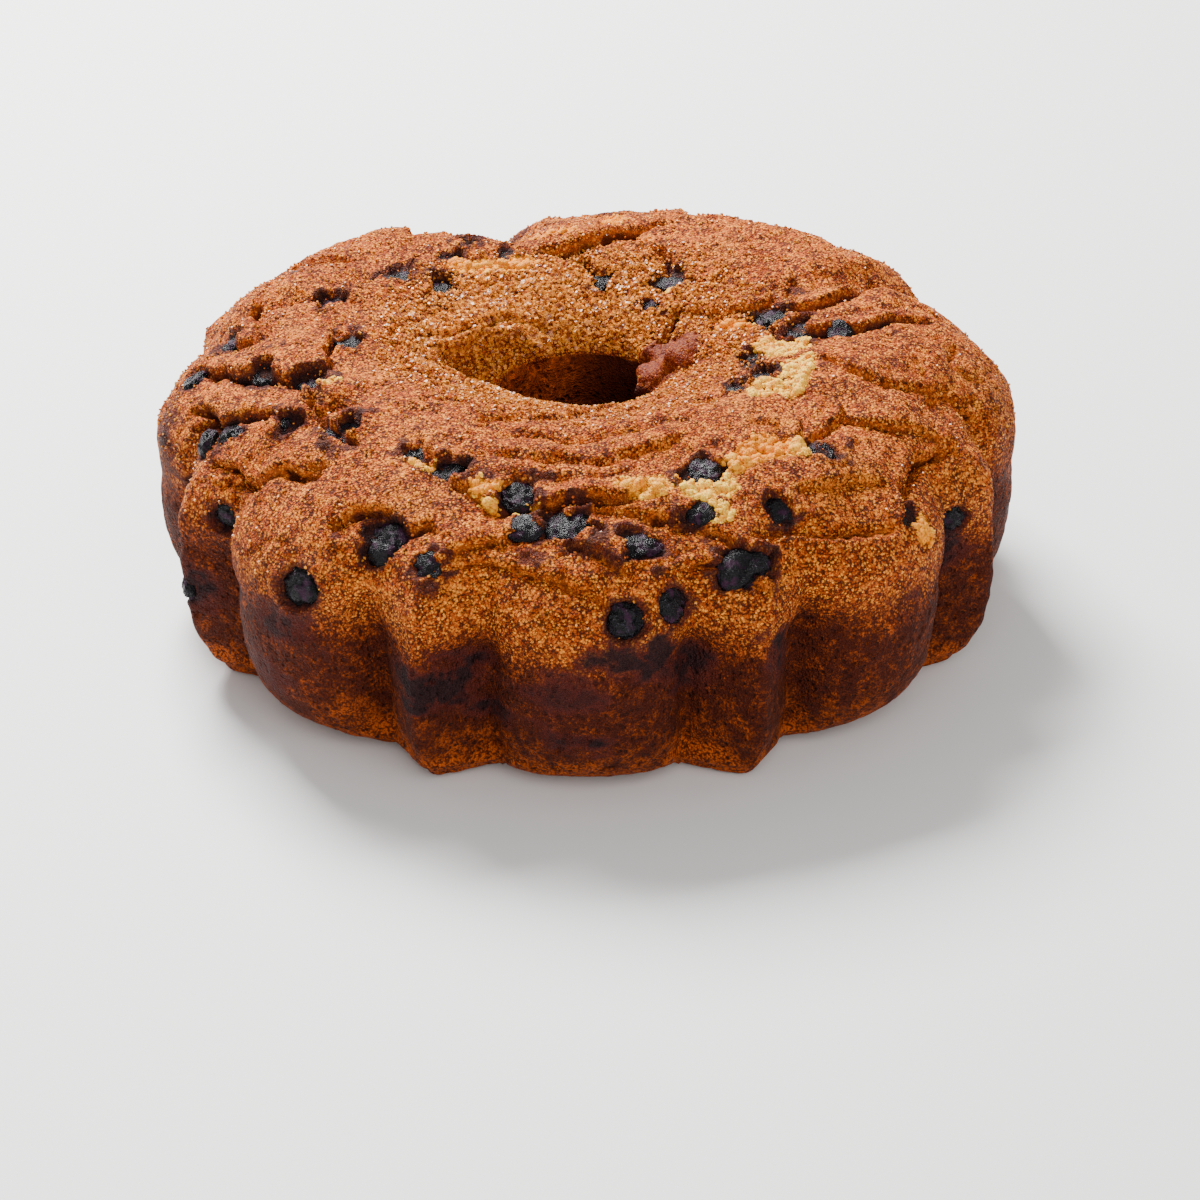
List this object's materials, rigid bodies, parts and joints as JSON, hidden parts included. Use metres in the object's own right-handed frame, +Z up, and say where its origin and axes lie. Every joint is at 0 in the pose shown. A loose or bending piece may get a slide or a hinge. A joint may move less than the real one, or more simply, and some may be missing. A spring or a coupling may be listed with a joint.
{
  "type": "blueberry bundt cake",
  "caption": "Whole ring cake with round and pointed flutes, an uneven cracked crown and a hole through the middle, with blueberries baked into its sugared crust.",
  "frame": {"origin": "middle of the flat face that the cake rests on, below the hole's axis", "axes": "+Z up along the hole's axis, -Y and every 45 degrees from it through the middle of a round flute"},
  "size_m": [0.228, 0.228, 0.0831],
  "materials": {
    "baked_crust": "browned, sugared cake crust, rough and dry",
    "blueberry_skin": "baked blueberry skin, wrinkled, nearly black, a little glossy"
  },
  "bodies": {
    "root": {"cake": "baked_crust", "blueberry_01": "blueberry_skin", "blueberry_02": "blueberry_skin", "blueberry_03": "blueberry_skin", "blueberry_04": "blueberry_skin", "blueberry_05": "blueberry_skin", "blueberry_06": "blueberry_skin", "blueberry_07": "blueberry_skin", "blueberry_08": "blueberry_skin", "blueberry_09": "blueberry_skin", "blueberry_10": "blueberry_skin", "blueberry_11": "blueberry_skin", "blueberry_12": "blueberry_skin", "blueberry_13": "blueberry_skin", "blueberry_14": "blueberry_skin", "blueberry_15": "blueberry_skin", "blueberry_16": "blueberry_skin", "blueberry_17": "blueberry_skin", "blueberry_18": "blueberry_skin", "blueberry_19": "blueberry_skin", "blueberry_20": "blueberry_skin", "blueberry_21": "blueberry_skin", "blueberry_22": "blueberry_skin", "blueberry_23": "blueberry_skin", "blueberry_24": "blueberry_skin", "blueberry_25": "blueberry_skin", "blueberry_26": "blueberry_skin", "blueberry_27": "blueberry_skin", "blueberry_28": "blueberry_skin", "blueberry_29": "blueberry_skin", "blueberry_30": "blueberry_skin", "blueberry_31": "blueberry_skin", "blueberry_32": "blueberry_skin", "blueberry_33": "blueberry_skin", "blueberry_34": "blueberry_skin", "blueberry_35": "blueberry_skin", "blueberry_36": "blueberry_skin", "blueberry_37": "blueberry_skin", "blueberry_38": "blueberry_skin", "blueberry_39": "blueberry_skin", "blueberry_40": "blueberry_skin", "blueberry_41": "blueberry_skin", "blueberry_42": "blueberry_skin", "blueberry_43": "blueberry_skin", "blueberry_44": "blueberry_skin", "blueberry_45": "blueberry_skin", "blueberry_46": "blueberry_skin", "blueberry_47": "blueberry_skin", "blueberry_48": "blueberry_skin", "blueberry_49": "blueberry_skin", "blueberry_50": "blueberry_skin", "blueberry_51": "blueberry_skin", "blueberry_52": "blueberry_skin"}
  },
  "joints": []
}
